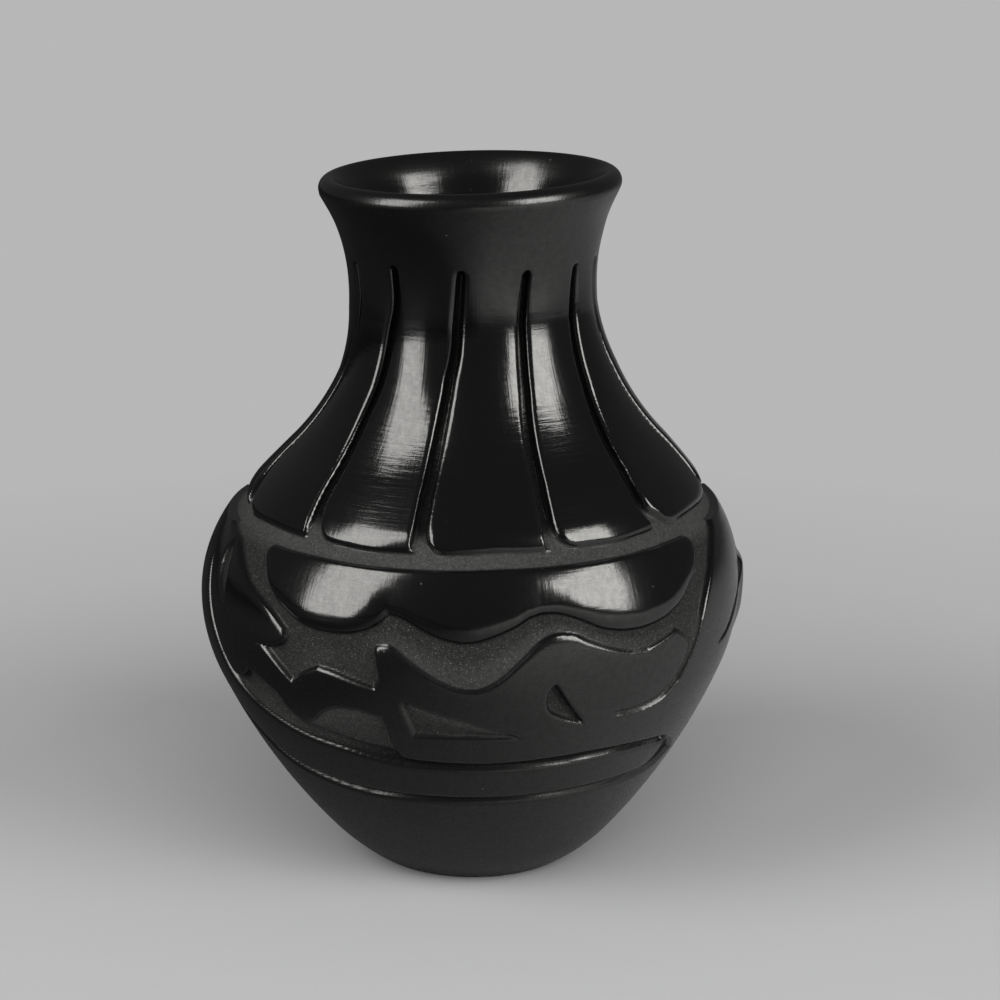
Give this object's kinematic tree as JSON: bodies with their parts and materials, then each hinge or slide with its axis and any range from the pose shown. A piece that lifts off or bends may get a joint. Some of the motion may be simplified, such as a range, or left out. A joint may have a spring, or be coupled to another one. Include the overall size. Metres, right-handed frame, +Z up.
{
  "type": "pottery jar",
  "caption": "Coil-built pottery jar with a flared neck, rounded shoulder and carved feather ring and cloud band; stands on its flat foot.",
  "frame": {"origin": "centre of the flat foot, on the surface that the jar stands on", "axes": "+Z up along the jar's axis, -Y towards the carved front, +X to the viewer's right"},
  "size_m": [0.158, 0.157, 0.2028],
  "materials": {
    "polished_clay": "stone-polished black slip with matte carved ground"
  },
  "bodies": {
    "root": {"base_slab": "polished_clay", "lower_wall_coil": "polished_clay", "haunch_coil": "polished_clay", "belly_coil": "polished_clay", "shoulder_coil": "polished_clay", "upper_shoulder_coil": "polished_clay", "neck_coil": "polished_clay", "rim_coil": "polished_clay"}
  },
  "joints": []
}
